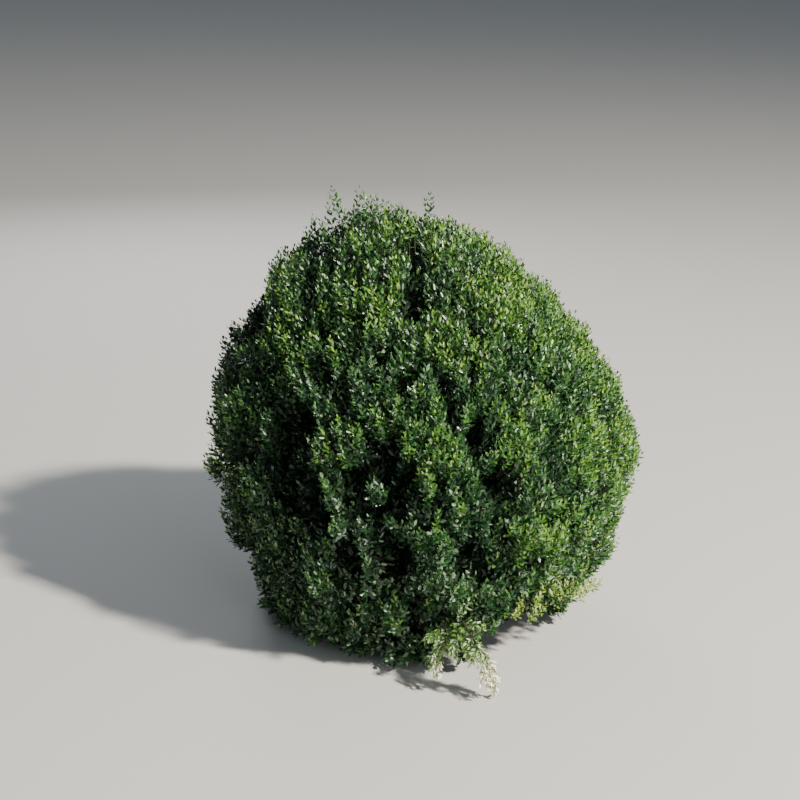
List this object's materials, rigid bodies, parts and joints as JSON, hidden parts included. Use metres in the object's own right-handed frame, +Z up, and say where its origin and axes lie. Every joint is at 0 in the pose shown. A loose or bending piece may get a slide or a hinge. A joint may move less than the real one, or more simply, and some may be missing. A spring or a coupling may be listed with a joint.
{
  "type": "clipped box shrub",
  "caption": "Evergreen garden shrub clipped to a rounded ball with a blunt top, rooted in the ground, dense small leaves on a short hidden stem, with one bleached spray low at the front.",
  "frame": {"origin": "the middle of the flat cut under the trunk, at ground level, which is the mount named ground", "axes": "+Z up, +X to the right and -Y towards the viewer as the picture shows the shrub"},
  "size_m": [1.2602, 1.2428, 1.2722],
  "materials": {
    "bark": "grey-brown fissured bark, matt",
    "foliage": "small glossy dark green leaves, lighter yellow-green where young",
    "pale_foliage": "bleached cream and straw leaves, matt"
  },
  "bodies": {
    "root": {"bough_crown_top": "bark", "bough_hanging_spray": "bark", "bough_shoulder_1": "bark", "bough_shoulder_2": "bark", "bough_shoulder_3": "bark", "bough_shoulder_4": "bark", "bough_shoulder_5": "bark", "bough_side_1": "bark", "bough_side_2": "bark", "bough_side_3": "bark", "bough_side_4": "bark", "bough_side_5": "bark", "bough_side_6": "bark", "bough_side_7": "bark", "foliage_crown_top": "foliage", "foliage_hanging_spray": "pale_foliage", "foliage_shoulder_1": "foliage", "foliage_shoulder_2": "foliage", "foliage_shoulder_3": "foliage", "foliage_shoulder_4": "foliage", "foliage_shoulder_5": "foliage", "foliage_side_1": "foliage", "foliage_side_2": "foliage", "foliage_side_3": "foliage", "foliage_side_4": "foliage", "foliage_side_5": "foliage", "foliage_side_6": "foliage", "foliage_side_7": "foliage", "trunk": "bark"}
  },
  "joints": []
}
